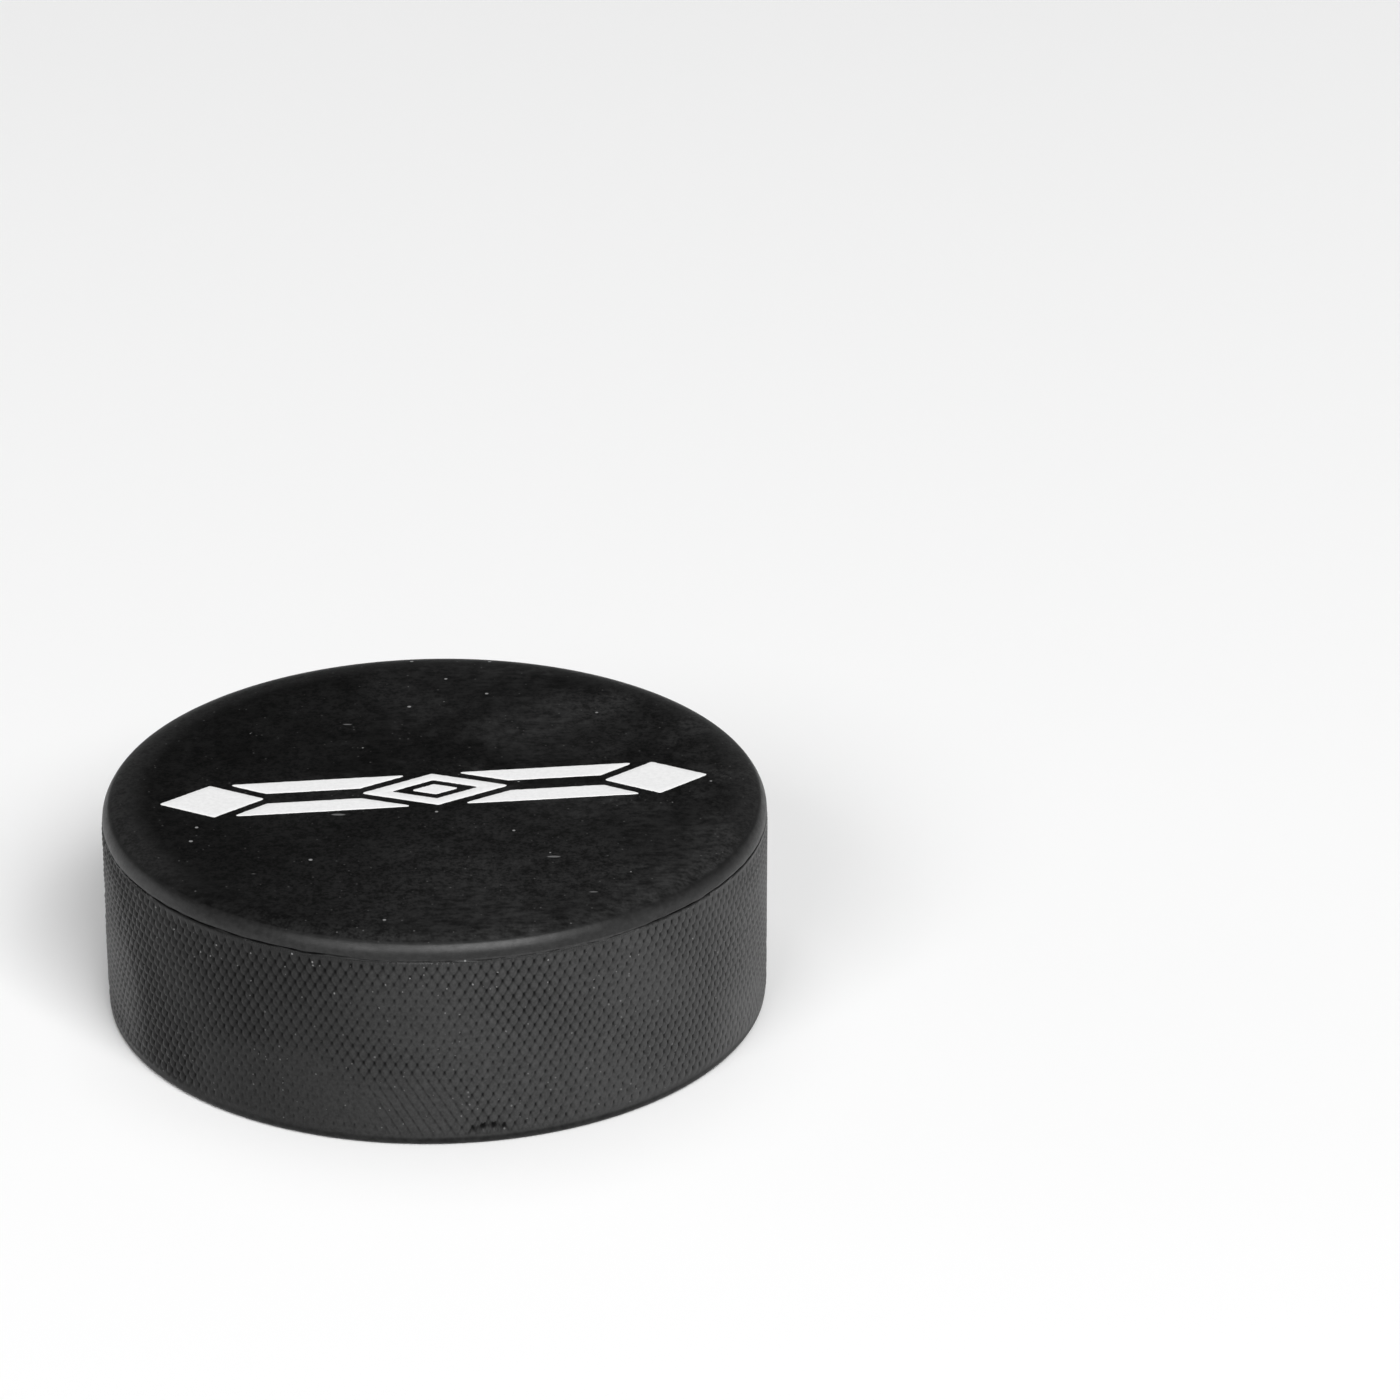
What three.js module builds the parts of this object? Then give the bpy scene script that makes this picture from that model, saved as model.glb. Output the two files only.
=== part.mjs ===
// Ice hockey puck: a solid disc of vulcanised rubber, moulded in one piece, with a plain ornament
// screen-printed in white ink across its upper face.
//
// Units are millimetres and +Z is up. The origin is the middle of the face that the puck rests on.

import * as THREE from "three";

// The rubber disc.
const DIAMETER = 76.2; // three inches, the rule-book size
const THICKNESS = 25.4; // one inch, the rule-book size
const TOP_EDGE_RADIUS = 2.2;
const BOTTOM_EDGE_RADIUS = 0.7;

// The side wall, from the bottom up: a smooth land, the knurled band, a smooth land, then the line
// where the two halves of the mould met, which is also where the rounded top edge begins.
const KNURL_BOTTOM = 1.2;
const KNURL_TOP = 22.4;
const LAND_INSET = 0.08; // how far the lands lie inside the knurl's crests
const LAND_STEP_HEIGHT = 0.15;
const PARTING_GROOVE_WIDTH = 0.4;
const PARTING_GROOVE_DEPTH = 0.15;

// The printed ornament: a row of rhombs along the middle of the upper face, joined by two bars.
const INK_THICKNESS = 0.06;
const ORNAMENT_LENGTH = 63;
const ORNAMENT_HEIGHT = 8.2;
const ORNAMENT_TURN = THREE.MathUtils.degToRad(7.6);
const CENTRE_RHOMB_LENGTH = 17;
const CENTRE_RHOMB_BORDER = 1.5; // width of the open rhomb's outline
const CENTRE_RHOMB_GAP = 1; // bare rubber between the open rhomb and the small one inside it
const END_RHOMB_LENGTH = 12;
const BAR_HEIGHT = 2.8;
const BAR_GAP = 1.2; // bare rubber between a bar's ends and the rhombs
const INK_CORNER_RADIUS = 0.25;

// The rings of flat facets on the two faces. The outer ring of the upper face is clear of the ink.
const BARE_RING_RADIUS = 33;

// How finely the round shapes are divided.
const TURN_SEGMENTS = 96;
const TOP_ARC_SEGMENTS = 6;
const BOTTOM_ARC_SEGMENTS = 3;
const INK_CORNER_SEGMENTS = 3;

const OUTER_RADIUS = DIAMETER / 2;
const LAND_RADIUS = OUTER_RADIUS - LAND_INSET;
const PARTING_HEIGHT = THICKNESS - TOP_EDGE_RADIUS;

const rubber = new THREE.MeshStandardMaterial({ color: 0x1b1b1c, roughness: 0.55, metalness: 0 });
const whiteInk = new THREE.MeshStandardMaterial({ color: 0xf2f2f0, roughness: 0.6, metalness: 0 });

// Points on a quarter circle in the profile's plane, from one angle to the other, in degrees.
function arcPoints(centreR, centreZ, radius, fromDegrees, toDegrees, segments) {
  const points = [];
  for (let i = 0; i <= segments; i += 1) {
    const angle = THREE.MathUtils.degToRad(THREE.MathUtils.lerp(fromDegrees, toDegrees, i / segments));
    const r = centreR + radius * Math.cos(angle);
    const z = centreZ + radius * Math.sin(angle);
    points.push(new THREE.Vector2(r, z));
  }
  return points;
}

// Half of the disc's cross-section, from the axis at the bottom, up the side wall, to the axis at the top.
function discProfile() {
  const grooveMiddle = PARTING_HEIGHT - PARTING_GROOVE_WIDTH / 2;
  return [
    new THREE.Vector2(0, 0),
    ...arcPoints(
      LAND_RADIUS - BOTTOM_EDGE_RADIUS, BOTTOM_EDGE_RADIUS, BOTTOM_EDGE_RADIUS, -90, 0, BOTTOM_ARC_SEGMENTS,
    ),
    new THREE.Vector2(LAND_RADIUS, KNURL_BOTTOM - LAND_STEP_HEIGHT),
    new THREE.Vector2(OUTER_RADIUS, KNURL_BOTTOM),
    new THREE.Vector2(OUTER_RADIUS, KNURL_TOP),
    new THREE.Vector2(LAND_RADIUS, KNURL_TOP + LAND_STEP_HEIGHT),
    new THREE.Vector2(LAND_RADIUS, PARTING_HEIGHT - PARTING_GROOVE_WIDTH),
    new THREE.Vector2(LAND_RADIUS - PARTING_GROOVE_DEPTH, grooveMiddle),
    ...arcPoints(
      LAND_RADIUS - TOP_EDGE_RADIUS, PARTING_HEIGHT, TOP_EDGE_RADIUS, 0, 90, TOP_ARC_SEGMENTS,
    ),
    new THREE.Vector2(BARE_RING_RADIUS, THICKNESS),
    new THREE.Vector2(0, THICKNESS),
  ];
}

function makeDisc() {
  const geometry = new THREE.LatheGeometry(discProfile(), TURN_SEGMENTS);
  geometry.rotateX(Math.PI / 2); // a lathe turns about Y, and the disc's axis is Z
  const mesh = new THREE.Mesh(geometry, rubber);
  mesh.name = "puck_body";
  return mesh;
}

// Adds a closed outline to a path, with every corner rounded by the same radius.
function drawRounded(path, corners, radius) {
  corners.forEach((corner, i) => {
    const before = corners.at(i - 1);
    const after = corners[(i + 1) % corners.length];
    const toBefore = before.clone().sub(corner).normalize();
    const toAfter = after.clone().sub(corner).normalize();
    const halfAngle = Math.acos(toBefore.dot(toAfter)) / 2;
    const setBack = radius / Math.tan(halfAngle);
    const start = corner.clone().addScaledVector(toBefore, setBack);
    const end = corner.clone().addScaledVector(toAfter, setBack);
    if (i === 0) path.moveTo(start.x, start.y);
    else path.lineTo(start.x, start.y);
    path.quadraticCurveTo(corner.x, corner.y, end.x, end.y);
  });
  path.closePath();
}

// A shape drawn by its corners, with an optional hole, as a thin film of ink.
function makeFilm(name, corners, holeCorners = null) {
  const shape = new THREE.Shape();
  drawRounded(shape, corners, INK_CORNER_RADIUS);
  if (holeCorners) {
    const hole = new THREE.Path();
    drawRounded(hole, holeCorners, INK_CORNER_RADIUS);
    shape.holes.push(hole);
  }
  const settings = { depth: INK_THICKNESS, bevelEnabled: false, curveSegments: INK_CORNER_SEGMENTS };
  const mesh = new THREE.Mesh(new THREE.ExtrudeGeometry(shape, settings), whiteInk);
  mesh.name = name;
  return mesh;
}

function rhombCorners(middleX, halfLength, halfHeight) {
  return [
    new THREE.Vector2(middleX + halfLength, 0),
    new THREE.Vector2(middleX, halfHeight),
    new THREE.Vector2(middleX - halfLength, 0),
    new THREE.Vector2(middleX, -halfHeight),
  ];
}

// The rhomb whose sides lie inside another's by the given distance, about the same middle.
function insetRhombCorners(halfLength, halfHeight, inset) {
  const middleToSide = (halfLength * halfHeight) / Math.hypot(halfLength, halfHeight);
  const scale = 1 - inset / middleToSide;
  return rhombCorners(0, halfLength * scale, halfHeight * scale);
}

// A bar in the upper right quarter of the ornament. Its slanted ends run alongside the rhombs.
function barCorners(centreRhomb, endRhomb, innerY, outerY) {
  const slantedX = (rhomb, direction, y) => {
    const sideX = rhomb.middleX + direction * rhomb.halfLength * (1 - y / rhomb.halfHeight);
    const gapAlongX = (BAR_GAP * Math.hypot(rhomb.halfLength, rhomb.halfHeight)) / rhomb.halfHeight;
    return sideX + direction * gapAlongX;
  };
  return [
    new THREE.Vector2(slantedX(centreRhomb, 1, innerY), innerY),
    new THREE.Vector2(slantedX(endRhomb, -1, innerY), innerY),
    new THREE.Vector2(slantedX(endRhomb, -1, outerY), outerY),
    new THREE.Vector2(slantedX(centreRhomb, 1, outerY), outerY),
  ];
}

function makeOrnament() {
  const ornament = new THREE.Group();
  const halfHeight = ORNAMENT_HEIGHT / 2;
  const centreRhomb = { middleX: 0, halfLength: CENTRE_RHOMB_LENGTH / 2, halfHeight };
  const endHalfLength = END_RHOMB_LENGTH / 2;
  const endRhomb = { middleX: ORNAMENT_LENGTH / 2 - endHalfLength, halfLength: endHalfLength, halfHeight };

  ornament.add(
    makeFilm(
      "ink_centre_frame",
      rhombCorners(0, centreRhomb.halfLength, halfHeight),
      insetRhombCorners(centreRhomb.halfLength, halfHeight, CENTRE_RHOMB_BORDER),
    ),
    makeFilm(
      "ink_centre_rhomb",
      insetRhombCorners(centreRhomb.halfLength, halfHeight, CENTRE_RHOMB_BORDER + CENTRE_RHOMB_GAP),
    ),
  );

  const bar = barCorners(centreRhomb, endRhomb, halfHeight - BAR_HEIGHT, halfHeight);
  for (const [side, signX] of [["left", -1], ["right", 1]]) {
    const end = rhombCorners(signX * endRhomb.middleX, endRhomb.halfLength, halfHeight);
    ornament.add(makeFilm(`ink_end_rhomb_${side}`, end));
    for (const [level, signY] of [["lower", -1], ["upper", 1]]) {
      const corners = bar.map((corner) => new THREE.Vector2(signX * corner.x, signY * corner.y));
      ornament.add(makeFilm(`ink_bar_${level}_${side}`, corners));
    }
  }

  ornament.position.z = THICKNESS;
  ornament.rotation.z = ORNAMENT_TURN;
  return ornament;
}

const puck = new THREE.Group();
puck.add(makeDisc(), makeOrnament());

export default puck;
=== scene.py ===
import math

import bmesh
import bpy
import numpy as np
from mathutils import Matrix, Vector


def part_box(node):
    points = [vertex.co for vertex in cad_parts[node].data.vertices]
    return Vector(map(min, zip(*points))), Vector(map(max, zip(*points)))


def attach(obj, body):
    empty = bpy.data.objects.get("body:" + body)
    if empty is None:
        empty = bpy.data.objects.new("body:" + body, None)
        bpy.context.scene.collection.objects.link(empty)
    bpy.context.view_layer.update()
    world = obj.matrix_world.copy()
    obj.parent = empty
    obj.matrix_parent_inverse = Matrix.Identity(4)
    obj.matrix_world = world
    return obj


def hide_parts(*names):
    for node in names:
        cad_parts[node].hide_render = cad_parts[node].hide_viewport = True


# The looks of an ice hockey puck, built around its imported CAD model. Lengths are in metres.

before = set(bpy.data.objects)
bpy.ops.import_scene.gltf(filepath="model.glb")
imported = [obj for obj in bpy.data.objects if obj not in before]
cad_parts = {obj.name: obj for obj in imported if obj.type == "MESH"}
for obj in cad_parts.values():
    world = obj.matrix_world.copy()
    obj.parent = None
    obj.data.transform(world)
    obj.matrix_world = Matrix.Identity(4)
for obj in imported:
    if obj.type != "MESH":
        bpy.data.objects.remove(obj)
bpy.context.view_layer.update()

MM = 0.001
TURN = 2 * math.pi

# ---------------------------------------------------------------------------------------------
# Sizes of the rubber disc
# ---------------------------------------------------------------------------------------------

disc_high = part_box("puck_body")[1]
CREST_RADIUS = disc_high.x  # of the knurl's crests, the widest part of the disc
THICKNESS = disc_high.z

LAND_RADIUS = CREST_RADIUS - 0.08 * MM  # of the smooth bands above and below the knurl
BOTTOM_EDGE_RADIUS = 0.7 * MM

# The top edge, from the face outwards: a gentle shoulder, a tight bend, an almost flat bevel and a
# roll to the side. Each is the slope it starts at, the slope it ends at (both in degrees) and its
# length.
TOP_EDGE_BENDS = [(0, 28, 2.4 * MM), (28, 50, 0.35 * MM), (50, 64, 0.7 * MM), (64, 90, 0.9 * MM)]
STEPS_PER_BEND = 6

# The knurl is a lattice of small upright rhombs between two crossing families of helical grooves.
KNURL_BOTTOM = 1.2 * MM
KNURL_TOP = 22.95 * MM  # the highest that it reaches; its upper limit wanders below this
KNURL_TOP_WANDER = 0.7 * MM
RHOMBS_AROUND = 200
RHOMB_ROWS = 11  # whole rhombs, one above the other
STEPS_PER_SIDE = 4  # mesh steps along each side of a rhomb
GROOVE_DEPTH = 0.24 * MM  # where two grooves cross, their depths add up
SHALLOW_GROOVE_SHARE = 0.85  # depth of the second family of grooves, as a share of the first's
GROOVE_SHOULDER = 0.22  # share of a groove's depth half-way from its line to the rhomb's middle
GROOVE_FADE = 0.35 * MM  # height over which the grooves run out above and below the knurl

RING_POINTS = RHOMBS_AROUND * STEPS_PER_SIDE

# Wear cuts the grooves off from the crests down. These are shares of a groove's depth, and they add.
LEAST_WEAR = -0.05
RANDOM_WEAR = 0.35  # in random patches
BOTTOM_WEAR = 0.1  # towards the bottom
WORN_SIDE_WEAR = 0.4  # towards the worn side
SMOOTH_PATCH_WEAR = 0.55
WORN_ANGLE = math.radians(303)  # of the worn side, about the axis from +X

# Oval patches of the knurl, each a middle angle and half width, then a middle height and half height.
SMOOTH_PATCH = (math.radians(244), math.radians(22), 5.5 * MM, 6.5 * MM)  # worn almost smooth
SLANTED_PATCH = (math.radians(268), math.radians(12), 4.5 * MM, 5.5 * MM)  # grooves mostly one way
SLANTED_LOSS = 0.7  # how much shallower the first family of grooves is there
SLANTED_GAIN = 0.25  # how much deeper the second is
CHIP_DEPTH = 0.5  # of the most chipped crest, as a share of a groove's depth

# The parting line is a hairline but for two stretches, each a middle angle and a half width, where
# the halves of the mould met badly.
OPEN_PARTINGS = [(math.radians(233), math.radians(30)), (math.radians(325), math.radians(20))]
PARTING_DEPTH = 0.2 * MM  # of an open stretch
HAIRLINE_SHARE = 0.12  # depth of the hairline, as a share of that
PARTING_LIP = 0.05 * MM
PARTING_WANDER = 0.05 * MM  # up and down

# A crescent-shaped dent in the knurl, near the bottom at the front.
FLAW_ANGLE = math.radians(281)
FLAW_HEIGHT = 2.3 * MM
FLAW_LENGTH = 6.4 * MM
FLAW_WIDTH = 1.2 * MM
FLAW_SAG = 1.3 * MM
FLAW_DEPTH = 0.25 * MM


# ---------------------------------------------------------------------------------------------
# Smooth, seeded unevenness
# ---------------------------------------------------------------------------------------------

class RingNoise:
    """A smooth random function of the angle about the disc's axis and of the height."""

    def __init__(self, seed, most_waves_around, shortest_height, terms=24):
        rng = np.random.default_rng(seed)
        self.waves_around = rng.integers(1, most_waves_around + 1, terms)
        self.waves_up = rng.uniform(-1, 1, terms) * TURN / shortest_height
        self.phases = rng.uniform(0, TURN, terms)
        self.scale = 1 / math.sqrt(terms / 2)

    def __call__(self, angle, height):
        angle, height = np.broadcast_arrays(angle, height)
        arguments = (
            angle[..., None] * self.waves_around + height[..., None] * self.waves_up + self.phases
        )
        return np.cos(arguments).sum(-1) * self.scale


class FaceNoise:
    """A smooth random function of the place on a flat face."""

    def __init__(self, seed, shortest_wave, terms=24):
        rng = np.random.default_rng(seed)
        headings = rng.uniform(0, TURN, terms)
        pace = rng.uniform(0.3, 1, terms) * TURN / shortest_wave
        self.pace_x = np.cos(headings) * pace
        self.pace_y = np.sin(headings) * pace
        self.phases = rng.uniform(0, TURN, terms)
        self.scale = 1 / math.sqrt(terms / 2)

    def __call__(self, x, y):
        arguments = x[..., None] * self.pace_x + y[..., None] * self.pace_y + self.phases
        return np.cos(arguments).sum(-1) * self.scale


def smoothstep(low, high, value):
    share = np.clip((value - low) / (high - low), 0, 1)
    return share * share * (3 - 2 * share)


side_waviness = RingNoise(seed=11, most_waves_around=14, shortest_height=30 * MM)
knurl_patches = RingNoise(seed=23, most_waves_around=18, shortest_height=14 * MM)
knurl_limit = RingNoise(seed=29, most_waves_around=9, shortest_height=1)
parting_wander = RingNoise(seed=31, most_waves_around=60, shortest_height=1)
parting_depth = RingNoise(seed=37, most_waves_around=90, shortest_height=1)
face_waviness = FaceNoise(seed=41, shortest_wave=16 * MM)

SIDE_WAVE = 0.02 * MM
FACE_WAVE = 0.012 * MM


def top_edge():
    """Radius and height along the top edge, from the side wall up to the flat of the face."""
    points = [(0.0, 0.0)]  # from the flat outwards, measured from where it ends
    for first_slope, last_slope, length in TOP_EDGE_BENDS:
        step = length / STEPS_PER_BEND
        for i in range(STEPS_PER_BEND):
            slope = first_slope + (last_slope - first_slope) * (i + 0.5) / STEPS_PER_BEND
            across, down = math.cos(math.radians(slope)), math.sin(math.radians(slope))
            points.append((points[-1][0] + step * across, points[-1][1] - step * down))
    width = points[-1][0]
    return [(LAND_RADIUS - width + out, THICKNESS + up) for out, up in reversed(points)]


PARTING_HEIGHT = top_edge()[0][1]  # where the two halves of the mould met
FACE_RADIUS = top_edge()[-1][0]  # of the flat of the upper face


def face_height(x, y):
    """Height of the upper face, which is flat but for a faint waviness that dies out at its edge."""
    inner = 1 - smoothstep(FACE_RADIUS - 5 * MM, FACE_RADIUS, np.hypot(x, y))
    return THICKNESS + FACE_WAVE * inner * (face_waviness(x, y) - 2)


# ---------------------------------------------------------------------------------------------
# Mesh building
# ---------------------------------------------------------------------------------------------

class MeshBuilder:
    """Collects rings of vertices and the faces that join them."""

    def __init__(self):
        self.vertices = []
        self.faces = []

    def add(self, points):
        """Adds an array of points and returns the indices of the new vertices."""
        first = len(self.vertices)
        self.vertices.extend(map(tuple, points))
        return list(range(first, len(self.vertices)))

    def join(self, outer, inner):
        """Joins two closed rings of the same number of vertices, or the second of half as many."""
        count = len(outer)
        if len(inner) == count:
            for i in range(count):
                j = (i + 1) % count
                self.faces.append((outer[i], outer[j], inner[j], inner[i]))
            return
        for i in range(0, count, 2):
            a, b, c = outer[i], outer[i + 1], outer[(i + 2) % count]
            near, far = inner[i // 2], inner[(i // 2 + 1) % len(inner)]
            self.faces += [(a, b, near), (b, far, near), (b, c, far)]

    def cap(self, ring, point):
        """Closes a ring with a fan about one point."""
        middle = self.add([point])[0]
        for i, vertex in enumerate(ring):
            self.faces.append((vertex, ring[(i + 1) % len(ring)], middle))

    def make(self, name, material):
        mesh = bpy.data.meshes.new(name)
        mesh.from_pydata(self.vertices, [], self.faces)
        mesh.validate()
        mesh.polygons.foreach_set("use_smooth", [True] * len(mesh.polygons))
        mesh.materials.append(material)
        piece = bpy.data.objects.new(name, mesh)
        bpy.context.scene.collection.objects.link(piece)
        return piece


def ring_points(radius, height, count=RING_POINTS, shift=0.0):
    """Points around the axis. The radius and the height may vary from point to point."""
    angle = (np.arange(count) + shift) * TURN / count
    height = np.broadcast_to(height, angle.shape)
    return np.stack([radius * np.cos(angle), radius * np.sin(angle), height], axis=-1)


# ---------------------------------------------------------------------------------------------
# The knurled band
# ---------------------------------------------------------------------------------------------

def groove_share(place):
    """How deep the groove is at a place across the rhomb, from 1 in its line to 0 mid-way between."""
    from_line = np.abs(place - np.round(place))  # 0 in the groove's line, 0.5 mid-way
    quarter = 1 / STEPS_PER_SIDE
    shares = np.array([1, GROOVE_SHOULDER, 0])
    return np.interp(from_line, [0, quarter, 0.5], shares)


def in_patch(patch, angle, height):
    """1 in the inner half of an oval patch, falling to 0 at its outline."""
    middle_angle, half_width, middle_height, half_height = patch
    across = (angle - middle_angle) / half_width
    up = (height - middle_height) / half_height
    return 1 - smoothstep(0.5, 1, np.hypot(across, up))


def knurl_wear(angle, height):
    """How far the knurl is worn down, as a share of a groove's depth, in patches."""
    patches = smoothstep(-1.3, 1.3, knurl_patches(angle, height))
    towards_bottom = 1 - smoothstep(0, KNURL_TOP, height)
    near_worn_angle = smoothstep(-0.4, 1, np.cos(angle - WORN_ANGLE))
    wear = RANDOM_WEAR * patches + BOTTOM_WEAR * towards_bottom
    wear = wear + WORN_SIDE_WEAR * near_worn_angle + LEAST_WEAR
    return wear + SMOOTH_PATCH_WEAR * in_patch(SMOOTH_PATCH, angle, height)


def flaw_depth(angle, height):
    """Depth of the short crescent-shaped dent near the bottom edge."""
    across = (angle - FLAW_ANGLE) * CREST_RADIUS / (FLAW_LENGTH / 2)  # -1 and 1 at its tips
    curve = FLAW_HEIGHT - FLAW_SAG * across ** 2
    middle_line = 1 - smoothstep(0, FLAW_WIDTH / 2, np.abs(height - curve))
    return FLAW_DEPTH * middle_line * (1 - smoothstep(0.3, 1, np.abs(across)))


def knurl_rows():
    """The band's rows of points, from the bottom up. Every other row is shifted by half a step."""
    rows = 2 * STEPS_PER_SIDE * RHOMB_ROWS
    rhomb_height = (KNURL_TOP - KNURL_BOTTOM) / RHOMB_ROWS
    rng = np.random.default_rng(53)
    chips = rng.uniform(0, 1, (4 * RHOMB_ROWS, 2 * RHOMBS_AROUND))

    for row in range(rows + 1):
        shift = 0.5 * (row % 2)
        around = (np.arange(RING_POINTS) + shift) / STEPS_PER_SIDE  # in rhombs
        up = row / (2 * STEPS_PER_SIDE)  # in rhombs
        height = KNURL_BOTTOM + up * rhomb_height
        angle = around * TURN / RHOMBS_AROUND

        rising, falling = around - up, around + up
        slanted = in_patch(SLANTED_PATCH, angle, height)
        deep = groove_share(rising) * (1 - SLANTED_LOSS * slanted)
        shallow = SHALLOW_GROOVE_SHARE * groove_share(falling) * (1 + SLANTED_GAIN * slanted)
        groove = deep + shallow

        column = (np.floor(rising) + np.floor(falling)).astype(int) % (2 * RHOMBS_AROUND)
        level = (np.floor(falling) - np.floor(rising)).astype(int) % (4 * RHOMB_ROWS)
        chipped = CHIP_DEPTH * chips[level, column] ** 2 * (1 - deep) * (1 - shallow)

        limit = KNURL_TOP - KNURL_TOP_WANDER * smoothstep(-1, 1, knurl_limit(angle, 0))
        fade_in = smoothstep(KNURL_BOTTOM, KNURL_BOTTOM + GROOVE_FADE, height)
        fade_out = 1 - smoothstep(limit - GROOVE_FADE, limit, height)
        ends = np.minimum(fade_in, fade_out)
        crest = LAND_RADIUS + (CREST_RADIUS - LAND_RADIUS) * ends
        left_over = np.maximum(groove + chipped - knurl_wear(angle, height), 0)
        radius = crest - GROOVE_DEPTH * ends * left_over - flaw_depth(angle, height)
        radius += SIDE_WAVE * side_waviness(angle, height)
        yield ring_points(radius, height, shift=shift)


def join_knurl_rows(builder, rows):
    """Covers the shifted rows with rhombs, each two rows high, and triangles along both ends."""
    count = RING_POINTS
    for number, (low, middle, high) in enumerate(zip(rows, rows[1:], rows[2:])):
        middle_is_shifted = number % 2 == 0
        for i in range(count):
            # the middle row has a point on each side of the low row's point i
            left, right = (i - 1, i) if middle_is_shifted else (i, (i + 1) % count)
            builder.faces.append((low[i], middle[right], high[i], middle[left]))
    for i in range(count):
        j = (i + 1) % count
        builder.faces.append((rows[0][i], rows[0][j], rows[1][i]))
        builder.faces.append((rows[-1][j], rows[-1][i], rows[-2][i]))


# ---------------------------------------------------------------------------------------------
# The disc
# ---------------------------------------------------------------------------------------------

def bottom_edge():
    """Radius and height along the bottom edge, from the flat of the lower face to the side wall."""
    for angle in np.radians(np.linspace(-90, 0, 6)):
        radius = LAND_RADIUS - BOTTOM_EDGE_RADIUS * (1 - math.cos(angle))
        yield radius, BOTTOM_EDGE_RADIUS * (1 + math.sin(angle))


def add_rings(builder, outline, below):
    """Adds a ring for each radius and height of an outline, joins them up and returns the last."""
    for radius, height in outline:
        above = builder.add(ring_points(radius, height))
        builder.join(below, above)
        below = above
    return below


def parting_rings():
    """The groove and the thin ragged lip where the two halves of the mould met."""
    angle = np.arange(RING_POINTS) * TURN / RING_POINTS
    wander = PARTING_WANDER * parting_wander(angle, 0)
    open_share = np.full(RING_POINTS, HAIRLINE_SHARE)
    for middle_angle, half_width in OPEN_PARTINGS:
        off_middle = np.abs((angle - middle_angle + math.pi) % TURN - math.pi)
        open_share = np.maximum(open_share, 1 - smoothstep(0.6 * half_width, half_width, off_middle))
    depth = PARTING_DEPTH * open_share * (1 + 0.4 * parting_depth(angle, 0)).clip(0.2, 1.8)
    lip = PARTING_LIP * parting_depth(angle, 0.5).clip(0, 2)
    middle = PARTING_HEIGHT - 0.2 * MM
    yield LAND_RADIUS + 0.3 * lip, middle - 0.2 * MM + wander
    yield LAND_RADIUS + lip, middle - 0.11 * MM + wander
    yield LAND_RADIUS - 0.7 * depth, middle - 0.05 * MM + wander
    yield LAND_RADIUS - depth, middle + wander
    yield LAND_RADIUS - 0.6 * depth, middle + 0.07 * MM + wander
    yield LAND_RADIUS - 0.1 * depth, middle + 0.16 * MM + 0.5 * wander


def face_rings():
    """Radius and number of points of the rings that divide a face, from its edge inwards."""
    yield 34 * MM, RING_POINTS
    yield 32.5 * MM, RING_POINTS // 2
    for radius in np.arange(31, 14, -2.5):
        yield radius * MM, RING_POINTS // 4
    for radius in (13.5, 11, 8.5):
        yield radius * MM, RING_POINTS // 8
    yield 6 * MM, RING_POINTS // 16
    yield 3 * MM, RING_POINTS // 32


def close_face(builder, ring, height_at, order=1):
    """Closes a face from its edge to the axis. The order is 1 for a face that looks up, else -1."""
    ring = ring[::order]
    for radius, count in face_rings():
        points = ring_points(radius, 0, count)
        points[:, 2] = height_at(points[:, 0], points[:, 1])
        inner = builder.add(points)[::order]
        builder.join(ring, inner)
        ring = inner
    builder.cap(ring, (0, 0, float(height_at(np.zeros(1), np.zeros(1))[0])))


def lower_face_height(x, y):
    """The lower face is flat, and the puck rests on it."""
    return np.zeros_like(x)


def make_disc(material):
    """The whole disc as one closed mesh: edges, knurl, parting line and both faces."""
    builder = MeshBuilder()
    first, *lower_edge = bottom_edge()
    bottom = builder.add(ring_points(*first))
    last = add_rings(builder, lower_edge + [(LAND_RADIUS, KNURL_BOTTOM - 0.2 * MM)], bottom)
    rows = [builder.add(points) for points in knurl_rows()]
    builder.join(last, rows[0])
    join_knurl_rows(builder, rows)
    last = add_rings(builder, parting_rings(), rows[-1])
    last = add_rings(builder, top_edge(), last)
    close_face(builder, last, face_height)
    close_face(builder, bottom, lower_face_height, order=-1)
    return builder.make("rubber_disc", material)


# ---------------------------------------------------------------------------------------------
# The printed ornament
# ---------------------------------------------------------------------------------------------

INK_SINK = 0.015 * MM  # how far the film reaches into the rubber, so that no gap shows under it
INK_HEIGHT = 0.05 * MM
INK_EDGE = 0.05 * MM  # width of the film's rounded rim
INK_RAGGEDNESS = 0.025 * MM
OUTLINE_POINTS = 240


def outlines_of(node):
    """The closed outlines of a CAD film's upper side, the longest first, as arrays of x and y."""
    film = bmesh.new()
    film.from_mesh(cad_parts[node].data)
    bmesh.ops.remove_doubles(film, verts=film.verts, dist=0.001 * MM)
    top = {face for face in film.faces if face.normal.z > 0.5}
    neighbours = {}
    for edge in film.edges:
        if sum(face in top for face in edge.link_faces) == 1:
            a, b = edge.verts
            neighbours.setdefault(a, []).append(b)
            neighbours.setdefault(b, []).append(a)

    outlines = []
    while neighbours:
        vertex = next(iter(neighbours))
        outline = []
        while vertex in neighbours:
            outline.append((vertex.co.x, vertex.co.y))
            onward = [other for other in neighbours.pop(vertex) if other in neighbours]
            vertex = onward[0] if onward else None
        outlines.append(np.array(outline))
    film.free()
    return sorted(outlines, key=outline_length, reverse=True)


def outline_length(outline):
    return np.linalg.norm(outline - np.roll(outline, -1, axis=0), axis=1).sum()


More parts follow.
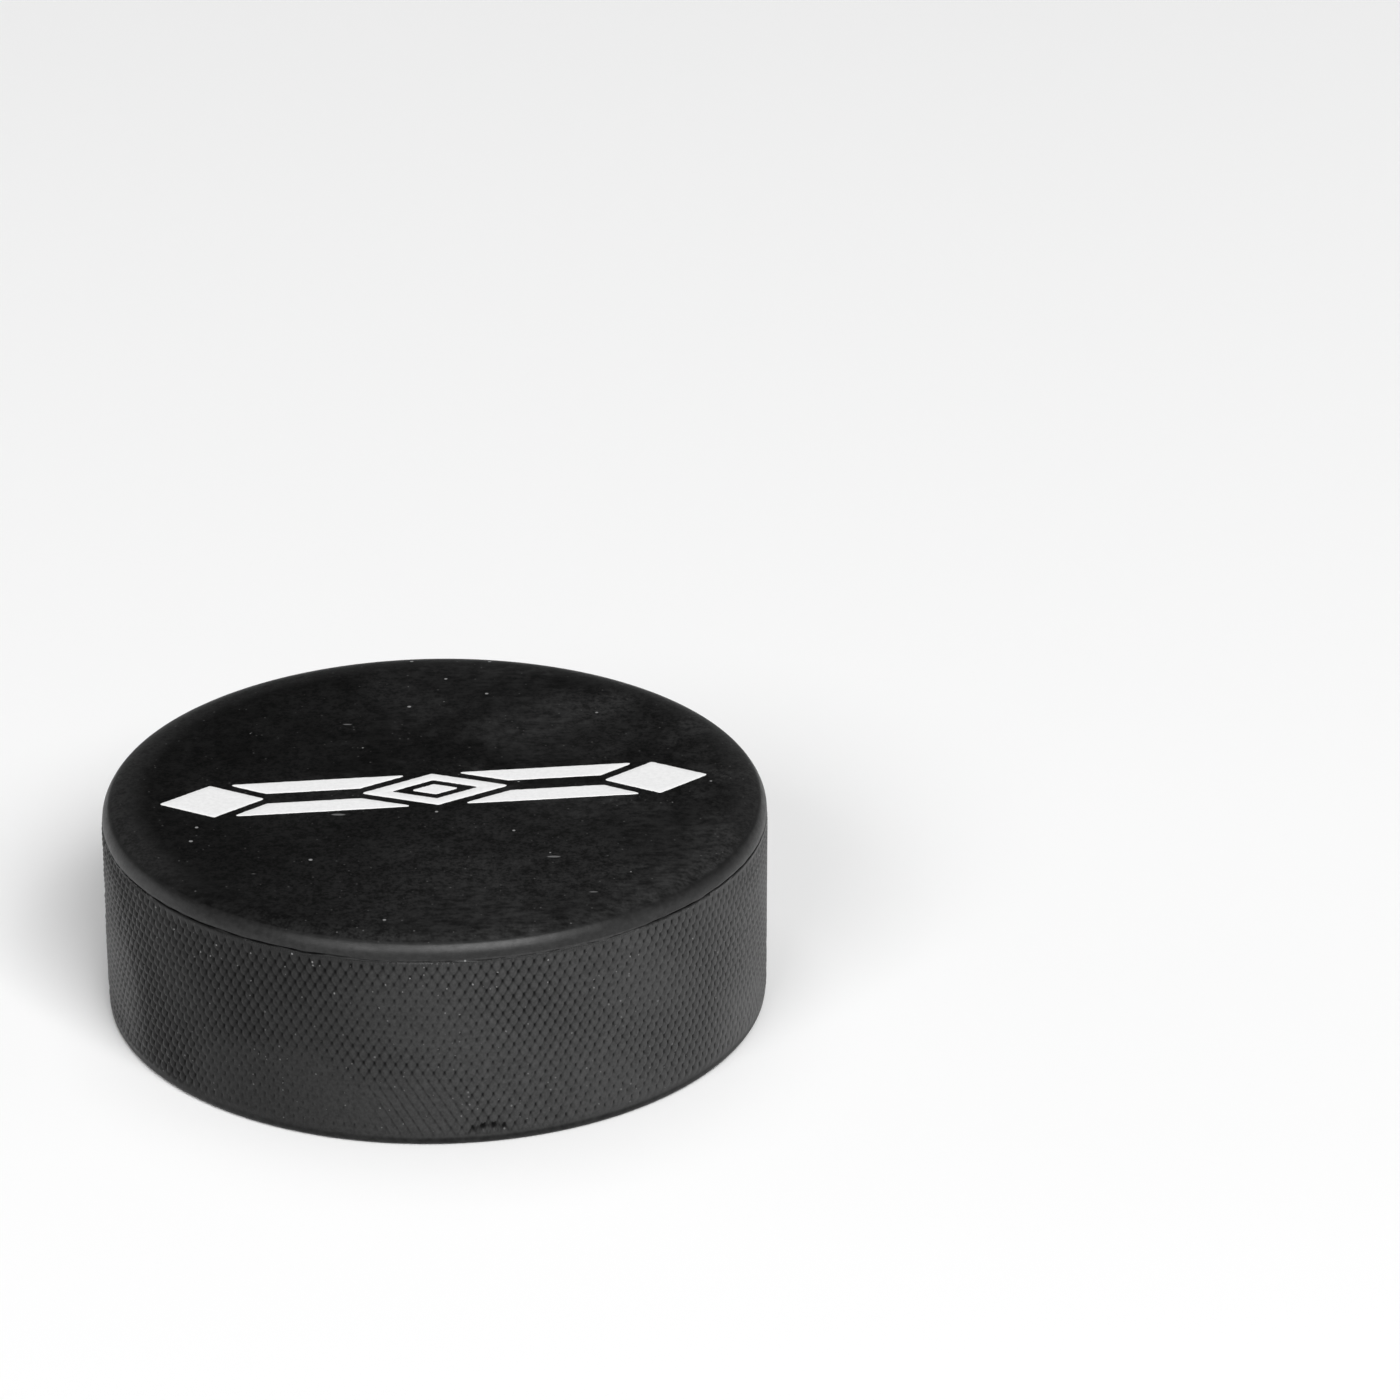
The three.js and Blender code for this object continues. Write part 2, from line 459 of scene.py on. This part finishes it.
def anticlockwise(outline):
    x, y = outline.T
    area = (x * np.roll(y, -1) - np.roll(x, -1) * y).sum() / 2
    return outline if area > 0 else outline[::-1]


def evenly_spaced(outline, count):
    """The same outline with its points an equal distance apart, starting to the right of its middle."""
    outline = anticlockwise(outline)
    middle = (outline.min(0) + outline.max(0)) / 2
    headings = np.arctan2(*(outline - middle).T[::-1])
    outline = np.roll(outline, -int(np.abs(headings).argmin()), axis=0)
    closed = np.vstack([outline, outline[:1]])
    distance = np.concatenate([[0], np.cumsum(np.linalg.norm(np.diff(closed, axis=0), axis=1))])
    wanted = np.arange(count) * distance[-1] / count
    return np.stack([np.interp(wanted, distance, closed[:, axis]) for axis in (0, 1)], axis=-1)


def outward_normals(outline):
    ahead, behind = np.roll(outline, -1, axis=0), np.roll(outline, 1, axis=0)
    along = ahead - behind
    across = np.stack([along[:, 1], -along[:, 0]], axis=-1)
    return across / np.linalg.norm(across, axis=1, keepdims=True)


def film_points(outline, height):
    """An outline laid on the upper face, raised by a height."""
    return np.column_stack([outline, face_height(*outline.T) + height])


def film_walls(builder, outline, outward):
    """The rings of a film's side, from its foot in the rubber up and over its rounded rim."""
    steps = [
        (0, -INK_SINK),
        (0, 0.4 * INK_HEIGHT),
        (-0.35 * INK_EDGE, 0.85 * INK_HEIGHT),
        (-INK_EDGE, INK_HEIGHT),
    ]
    return [builder.add(film_points(outline + shift * outward, rise)) for shift, rise in steps]


def ragged(outline, rng):
    """The outline with the slight unevenness of a screen-printed edge."""
    noise = np.convolve(np.tile(rng.normal(0, 1, len(outline)), 3), np.ones(3) / 3, "same")
    noise = noise[len(outline):2 * len(outline)]
    return outline + outward_normals(outline) * (noise * INK_RAGGEDNESS)[:, None]


def make_film(node, material, seed):
    """A film of ink with the outline of its CAD node, which it replaces."""
    builder = MeshBuilder()
    rng = np.random.default_rng(seed)
    outlines = [ragged(evenly_spaced(line, OUTLINE_POINTS), rng) for line in outlines_of(node)]
    outer = film_walls(builder, outlines[0], outward_normals(outlines[0]))
    for low, high in zip(outer, outer[1:]):
        builder.join(low, high)
    top, foot = outer[-1], outer[0]

    if len(outlines) == 1:
        middle = outlines[0].mean(0)
        rim = outlines[0] - INK_EDGE * outward_normals(outlines[0])
        for share in (0.8, 0.6, 0.4, 0.2):
            ring = builder.add(film_points(middle + (rim - middle) * share, INK_HEIGHT))
            builder.join(top, ring)
            top = ring
        builder.cap(top, film_points(middle[None], INK_HEIGHT)[0])
        builder.cap(foot[::-1], film_points(middle[None], -INK_SINK)[0])
    else:
        inner = film_walls(builder, outlines[1], -outward_normals(outlines[1]))
        builder.join(top, inner[-1])
        for high, low in zip(inner[::-1], inner[-2::-1]):
            builder.join(high, low)
        builder.join(inner[0], foot)
    return builder.make("print_" + node.removeprefix("ink_"), material)


# ---------------------------------------------------------------------------------------------
# Materials
# ---------------------------------------------------------------------------------------------

class Nodes:
    """Short names for adding nodes to a material."""

    def __init__(self, name):
        self.material = bpy.data.materials.new(name)
        self.material.use_nodes = True
        self.tree = self.material.node_tree
        self.shader = self.tree.nodes["Principled BSDF"]
        self.place = self.add("ShaderNodeTexCoord").outputs["Object"]

    def add(self, kind, **settings):
        node = self.tree.nodes.new(kind)
        for name, value in settings.items():
            setattr(node, name, value)
        return node

    def put(self, socket, value):
        """Links a socket to another node's output, or sets it to a plain value."""
        if isinstance(value, bpy.types.NodeSocket):
            self.tree.links.new(value, socket)
        else:
            socket.default_value = value

    def math(self, operation, a, b=0.0):
        node = self.add("ShaderNodeMath", operation=operation)
        self.put(node.inputs[0], a)
        self.put(node.inputs[1], b)
        return node.outputs[0]

    def level(self, value, lowest):
        """Turns 0..1 into lowest..1."""
        return self.math("ADD", self.math("MULTIPLY", value, 1 - lowest), lowest)

    def remap(self, value, low, high, to_low=0.0, to_high=1.0):
        """Turns low..high into to_low..to_high, smoothly and without overshoot."""
        node = self.add("ShaderNodeMapRange", interpolation_type="SMOOTHSTEP")
        for socket, number in zip(node.inputs, (value, low, high, to_low, to_high)):
            self.put(socket, number)
        return node.outputs["Result"]

    def noise(self, size, detail=2.0, roughness=0.5, place=None, distortion=0.0):
        """Cloudy noise whose features are about the given size across, between 0 and 1."""
        node = self.add("ShaderNodeTexNoise")
        self.put(node.inputs["Vector"], place or self.place)
        node.inputs["Scale"].default_value = 1 / size
        node.inputs["Detail"].default_value = detail
        node.inputs["Roughness"].default_value = roughness
        node.inputs["Distortion"].default_value = distortion
        return node.outputs["Fac"]

    def stretched(self, scale, turn=(0, 0, 0)):
        """The place on the object, turned and then squeezed, for streaks."""
        node = self.add("ShaderNodeMapping")
        self.put(node.inputs["Vector"], self.place)
        node.inputs["Rotation"].default_value = turn
        node.inputs["Scale"].default_value = scale
        return node.outputs["Vector"]

    def specks(self, cell, size, share, dimensions="3D", place=None):
        """Small round specks, 1 inside and 0 outside, in that share of the cells of a random lattice."""
        cells = self.add("ShaderNodeTexVoronoi", feature="F1", voronoi_dimensions=dimensions)
        self.put(cells.inputs["Vector"], place or self.place)
        cells.inputs["Scale"].default_value = 1 / cell
        split = self.add("ShaderNodeSeparateColor")
        self.put(split.inputs[0], cells.outputs["Color"])
        chosen = self.math("LESS_THAN", split.outputs[0], share)
        radius = self.remap(split.outputs[1], 0.0, 1.0, 0.3 * size / cell, size / cell)
        inside = self.math("SUBTRACT", radius, cells.outputs["Distance"])
        soft = self.remap(inside, 0.0, 0.3 * size / cell)
        return self.math("MULTIPLY", soft, chosen)

    def mix(self, share, a, b):
        """A colour between two, each given as a grey level, a colour or an output."""
        node = self.add("ShaderNodeMix", data_type="RGBA")
        self.put(node.inputs[0], share)
        for socket, colour in ((node.inputs[6], a), (node.inputs[7], b)):
            if isinstance(colour, float):
                colour = (colour, colour, colour, 1.0)
            self.put(socket, colour)
        return node.outputs[2]

    def mix_numbers(self, share, a, b):
        node = self.add("ShaderNodeMix", data_type="FLOAT")
        for socket, value in zip(node.inputs, (share, None, a, b)):
            if value is not None:
                self.put(socket, value)
        return node.outputs[0]

    def bump(self, height, distance, below=None):
        """A relief of the given depth, on top of another where one is given."""
        node = self.add("ShaderNodeBump")
        node.inputs["Strength"].default_value = 1.0
        node.inputs["Distance"].default_value = distance
        self.put(node.inputs["Height"], height)
        if below:
            self.put(node.inputs["Normal"], below)
        return node.outputs["Normal"]


def rubber_material():
    """Black vulcanised rubber: satin, with grey bloom, dust, lint, and painted light and shade."""
    n = Nodes("black_rubber")
    split = n.add("ShaderNodeSeparateXYZ")
    n.put(split.inputs[0], n.place)
    x, y, z = split.outputs
    radius = n.math("SQRT", n.math("ADD", n.math("MULTIPLY", x, x), n.math("MULTIPLY", y, y)))
    below_parting = n.remap(z, PARTING_HEIGHT + 0.05 * MM, PARTING_HEIGHT - 0.05 * MM)
    above_lower_land = n.remap(z, KNURL_BOTTOM - 0.4 * MM, KNURL_BOTTOM)
    on_knurl = n.math("MULTIPLY", below_parting, above_lower_land)
    on_edge = n.remap(radius, FACE_RADIUS + 2.1 * MM, FACE_RADIUS + 2.5 * MM)
    deepest = CREST_RADIUS - 1.45 * GROOVE_DEPTH
    on_crest = n.remap(radius, deepest, CREST_RADIUS - 0.05 * GROOVE_DEPTH)

    # the face: clouds of bloom with a coarse and a fine mottling, brushed to streaks in places, under
    # painted light that makes it paler to the right, and paler and evener at the front
    clouds = n.remap(n.noise(17 * MM, 4.0, 0.6, distortion=0.5), 0.40, 0.62)
    mottle = n.remap(n.noise(1.8 * MM, 3.0, 0.65), 0.34, 0.70)
    grain = n.remap(n.noise(0.45 * MM, 3.0, 0.7), 0.36, 0.64)
    streaks = n.remap(n.noise(0.6 * MM, 2.0, 0.6, place=n.stretched((0.35, 1, 1))), 0.34, 0.70)
    brushed = n.remap(n.noise(30 * MM, 1.0), 0.46, 0.60, 0.0, 0.7)
    fine = n.mix_numbers(brushed, grain, streaks)
    texture = n.math("ADD", n.math("MULTIPLY", mottle, 0.45), n.math("MULTIPLY", fine, 0.55))
    # painted light: paler towards the right, on the face and on the knurl's crests
    painted_light_towards_right = n.remap(x, -0.8 * CREST_RADIUS, 0.8 * CREST_RADIUS)
    # painted light: the face is paler and evener towards the front
    painted_light_towards_front = n.remap(y, 0.3 * CREST_RADIUS, -0.9 * CREST_RADIUS)
    lit_clouds = n.mix_numbers(painted_light_towards_front, clouds, n.level(clouds, 0.65))
    bloom_and_painted_light = n.math("MULTIPLY", n.level(lit_clouds, 0.2), n.level(painted_light_towards_right, 0.2))
    face_light = n.math("MULTIPLY", bloom_and_painted_light, n.level(texture, 0.2))

    # painted sheen: the rim of the face is painted lighter all round but at the front
    rim_start = n.math("ADD", n.math("MULTIPLY", mottle, 1.5 * MM), FACE_RADIUS - 3.5 * MM)
    painted_rim_sheen = n.remap(n.math("SUBTRACT", radius, rim_start), 0.0, 3.5 * MM)
    # painted sheen: it fades out towards the front of the rim
    painted_rim_sheen = n.math("MULTIPLY", painted_rim_sheen, n.remap(y, -32 * MM, -16 * MM, 0.0, 0.6))
    face_light = n.math("MAXIMUM", face_light, n.math("MULTIPLY", painted_rim_sheen, n.level(texture, 0.5)))
    face_colour = n.mix(face_light, 0.001, 0.034)

    # the rounded edges: the upper one grey, the lower one darker with painted shade
    side_mottle = n.remap(n.noise(0.8 * MM, 3.0, 0.65), 0.3, 0.75)
    lower_edge = n.remap(z, 2.0 * MM, 0.8 * MM)
    upper_edge_colour = n.mix(side_mottle, 0.005, 0.014)
    # painted shade: the lower edge is darker
    edge_colour = n.mix(lower_edge, upper_edge_colour, n.mix(side_mottle, 0.001, 0.012))
    smooth_colour = n.mix(on_edge, face_colour, edge_colour)

    # the side: crests with painted light to the right, a painted highlight on both flanks and painted
    # shade towards the bottom, and grooves darkened with painted shade
    off_middle = n.math("ABSOLUTE", x)
    # painted highlight: both flanks of the side are paler, fading out towards the top
    painted_flank_highlight = n.remap(off_middle, 0.80 * CREST_RADIUS, 0.97 * CREST_RADIUS)
    painted_flank_highlight = n.math("MULTIPLY", painted_flank_highlight, n.remap(z, KNURL_TOP, 0.6 * THICKNESS))
    crest_painted_light = n.math("ADD", n.math("MULTIPLY", painted_light_towards_right, 0.4), painted_flank_highlight)
    crest_painted_light = n.math("MULTIPLY", crest_painted_light, n.level(side_mottle, 0.15))
    # painted shade: the crests darken towards the bottom
    crest_painted_light = n.math("MULTIPLY", crest_painted_light, n.remap(z, 0.6 * MM, 2.4 * MM, 0.2, 1.0))
    side_grain = n.remap(n.noise(0.4 * MM, 3.0, 0.7), 0.35, 0.65)
    crest_colour = n.mix(crest_painted_light, n.mix(side_grain, 0.003, 0.012), 0.055)
    # painted shade: the grooves are darker than the crests
    knurl_colour_with_painted_groove_shade = n.mix(on_crest, 0.002, crest_colour)
    colour = n.mix(on_knurl, smooth_colour, knurl_colour_with_painted_groove_shade)

    # dust: pale specks and a little lint on the face, and finer pale specks on the face and the knurl,
    # brighter towards the knurl's top, where they are partly painted glints
    face_dust = n.specks(4.5 * MM, 0.26 * MM, 0.13, "2D")
    lint_place = n.stretched((0.45, 1.6, 1), turn=(0, 0, 0.5))
    lint = n.specks(9 * MM, 0.5 * MM, 0.1, "2D", lint_place)
    face_dust = n.math("MAXIMUM", face_dust, n.math("MULTIPLY", lint, 0.5))
    on_face = n.remap(z, PARTING_HEIGHT + 1.2 * MM, PARTING_HEIGHT + 1.6 * MM)
    face_dust = n.math("MULTIPLY", face_dust, on_face)
    # partly painted glints: the knurl's specks grow brighter towards its top
    knurl_dust_and_glints = n.math("MULTIPLY", on_knurl, n.remap(z, 0.5 * THICKNESS, KNURL_TOP, 0.3, 0.7))
    dust_and_glint_amount = n.mix_numbers(on_edge, 0.25, knurl_dust_and_glints)
    fine_dust_and_glints = n.math("MULTIPLY", n.specks(0.8 * MM, 0.14 * MM, 0.5), dust_and_glint_amount)
    dust_and_glints = n.math("MAXIMUM", fine_dust_and_glints, face_dust)
    colour = n.mix(dust_and_glints, colour, 0.24)
    n.put(n.shader.inputs["Base Color"], colour)

    # gloss: satin, a little uneven, and dead in the bottoms of the grooves
    face_roughness = n.remap(texture, 0.0, 1.0, 0.40, 0.48)
    side_roughness = n.remap(side_mottle, 0.0, 1.0, 0.40, 0.55)
    n.put(n.shader.inputs["Roughness"], n.mix_numbers(on_knurl, face_roughness, side_roughness))
    crest_gloss = n.remap(n.math("MAXIMUM", painted_light_towards_right, painted_flank_highlight), 0.0, 0.7, 0.25, 0.54)
    knurl_gloss = n.mix_numbers(on_crest, 0.08, crest_gloss)
    edge_gloss = n.remap(lower_edge, 0.0, 1.0, 0.36, 0.2)
    smooth_gloss = n.mix_numbers(on_edge, n.remap(texture, 0.0, 1.0, 0.06, 0.16), edge_gloss)
    n.put(n.shader.inputs["Specular IOR Level"], n.mix_numbers(on_knurl, smooth_gloss, knurl_gloss))
    n.shader.inputs["IOR"].default_value = 1.5

    # relief: a gentle orange peel under fine grain
    peel = n.bump(n.noise(2.6 * MM, 2.0), 0.018 * MM)
    fine_relief = n.bump(n.noise(0.22 * MM, 3.0, 0.6), 0.012 * MM, below=peel)
    n.put(n.shader.inputs["Normal"], fine_relief)
    return n.material


def ink_material():
    """White screen-printing ink: matt, very slightly uneven, with the odd pinhole."""
    n = Nodes("white_ink")
    thickness = n.remap(n.noise(0.5 * MM, 3.0, 0.6), 0.25, 0.75)
    colour = n.mix(thickness, 0.80, 0.88)
    pinholes = n.specks(2.2 * MM, 0.06 * MM, 0.12)
    n.put(n.shader.inputs["Base Color"], n.mix(pinholes, colour, 0.25))
    n.put(n.shader.inputs["Roughness"], n.remap(thickness, 0.0, 1.0, 0.62, 0.5))
    n.put(n.shader.inputs["Normal"], n.bump(n.noise(0.3 * MM, 3.0), 0.006 * MM))
    return n.material


def floor_material():
    n = Nodes("pale_floor")
    n.shader.inputs["Base Color"].default_value = (0.92, 0.92, 0.92, 1)
    n.shader.inputs["Roughness"].default_value = 0.9
    n.shader.inputs["Specular IOR Level"].default_value = 0.0
    return n.material


# ---------------------------------------------------------------------------------------------
# Camera, light and floor
# ---------------------------------------------------------------------------------------------

SENSOR_WIDTH = 36.0  # millimetres, as Blender's camera data holds it
LENS = 152.35
CAMERA_DISTANCE = 0.68887
CAMERA_ELEVATION = math.radians(24.98)
CAMERA_ROLL = math.radians(0.17)
LOOKS_AT = Vector((0.03031, 0.01407, 0.03021))


def add_camera():
    data = bpy.data.cameras.new("camera")
    data.sensor_width = SENSOR_WIDTH
    data.lens = LENS
    data.clip_start = 0.01
    camera = bpy.data.objects.new("camera", data)
    bpy.context.scene.collection.objects.link(camera)
    tilt = Matrix.Rotation(math.pi / 2 - CAMERA_ELEVATION, 4, "X")
    roll = Matrix.Rotation(CAMERA_ROLL, 4, "Z")
    back_off = Matrix.Translation((0, 0, CAMERA_DISTANCE))
    camera.matrix_world = Matrix.Translation(LOOKS_AT) @ tilt @ roll @ back_off
    bpy.context.scene.camera = camera


def add_softbox(name, position, target, width, height, radiance):
    """A rectangular lamp facing a target. Its power follows from its area and radiance."""
    data = bpy.data.lights.new(name, "AREA")
    data.shape = "RECTANGLE"
    data.size = width
    data.size_y = height
    data.energy = radiance * math.pi * width * height
    lamp = bpy.data.objects.new(name, data)
    bpy.context.scene.collection.objects.link(lamp)
    lamp.location = position
    facing = Vector(target) - Vector(position)
    lamp.rotation_euler = facing.to_track_quat("-Z", "Y").to_euler()


def add_light():
    """Large soft lamps, each with its position, target, width, height and radiance, in a dim room."""
    puck_middle = (0, 0, THICKNESS / 2)
    add_softbox("front_softbox", (1.1, -2.6, 2.6), puck_middle, 2.2, 1.9, 11.5)
    add_softbox("front_left_softbox", (-1.2, -2.4, 1.7), puck_middle, 1.6, 1.2, 6.5)
    add_softbox("overhead_softbox", (-0.2, 0.8, 3.0), (0, 0.3, 0), 2.0, 2.0, 1.3)
    add_softbox("right_softbox", (1.6, -0.3, 0.35), puck_middle, 0.8, 0.5, 1.5)
    add_softbox("left_softbox", (-1.6, 0.3, 0.25), puck_middle, 0.8, 0.5, 1.5)
    world = bpy.data.worlds.new("studio")
    world.use_nodes = True
    background = world.node_tree.nodes["Background"]
    background.inputs["Color"].default_value = (0.03, 0.03, 0.03, 1)
    bpy.context.scene.world = world
    bpy.context.scene.view_settings.view_transform = "Standard"


FLOOR_RADIUS = 3.2  # of the flat part
FLOOR_BEND_RADIUS = 1.3
FLOOR_BEND = 66  # degrees that the rim turns up by
FLOOR_BEND_STEPS = 22
FLOOR_POINTS = 96
FLOOR_HEIGHT = -0.01 * MM


def add_floor():
    """A round floor whose far rim curves up into a low backdrop."""
    builder = MeshBuilder()
    rings = []
    for angle in np.radians(np.linspace(FLOOR_BEND, 0, FLOOR_BEND_STEPS + 1)):
        radius = FLOOR_RADIUS + FLOOR_BEND_RADIUS * math.sin(angle)
        height = FLOOR_HEIGHT + FLOOR_BEND_RADIUS * (1 - math.cos(angle))
        rings.append(builder.add(ring_points(radius, height, FLOOR_POINTS)))
    for outer, inner in zip(rings, rings[1:]):
        builder.join(outer, inner)
    builder.cap(rings[-1], (0, 0, FLOOR_HEIGHT))
    builder.make("floor", floor_material())


# ---------------------------------------------------------------------------------------------
# The scene
# ---------------------------------------------------------------------------------------------

add_camera()
add_light()
add_floor()

disc = make_disc(rubber_material())
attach(disc, "root")
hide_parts("puck_body")

ink = ink_material()
ink_nodes = sorted(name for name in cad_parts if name.startswith("ink_"))
for number, node in enumerate(ink_nodes):
    film = make_film(node, ink, seed=100 + number)
    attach(film, "root")
    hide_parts(node)
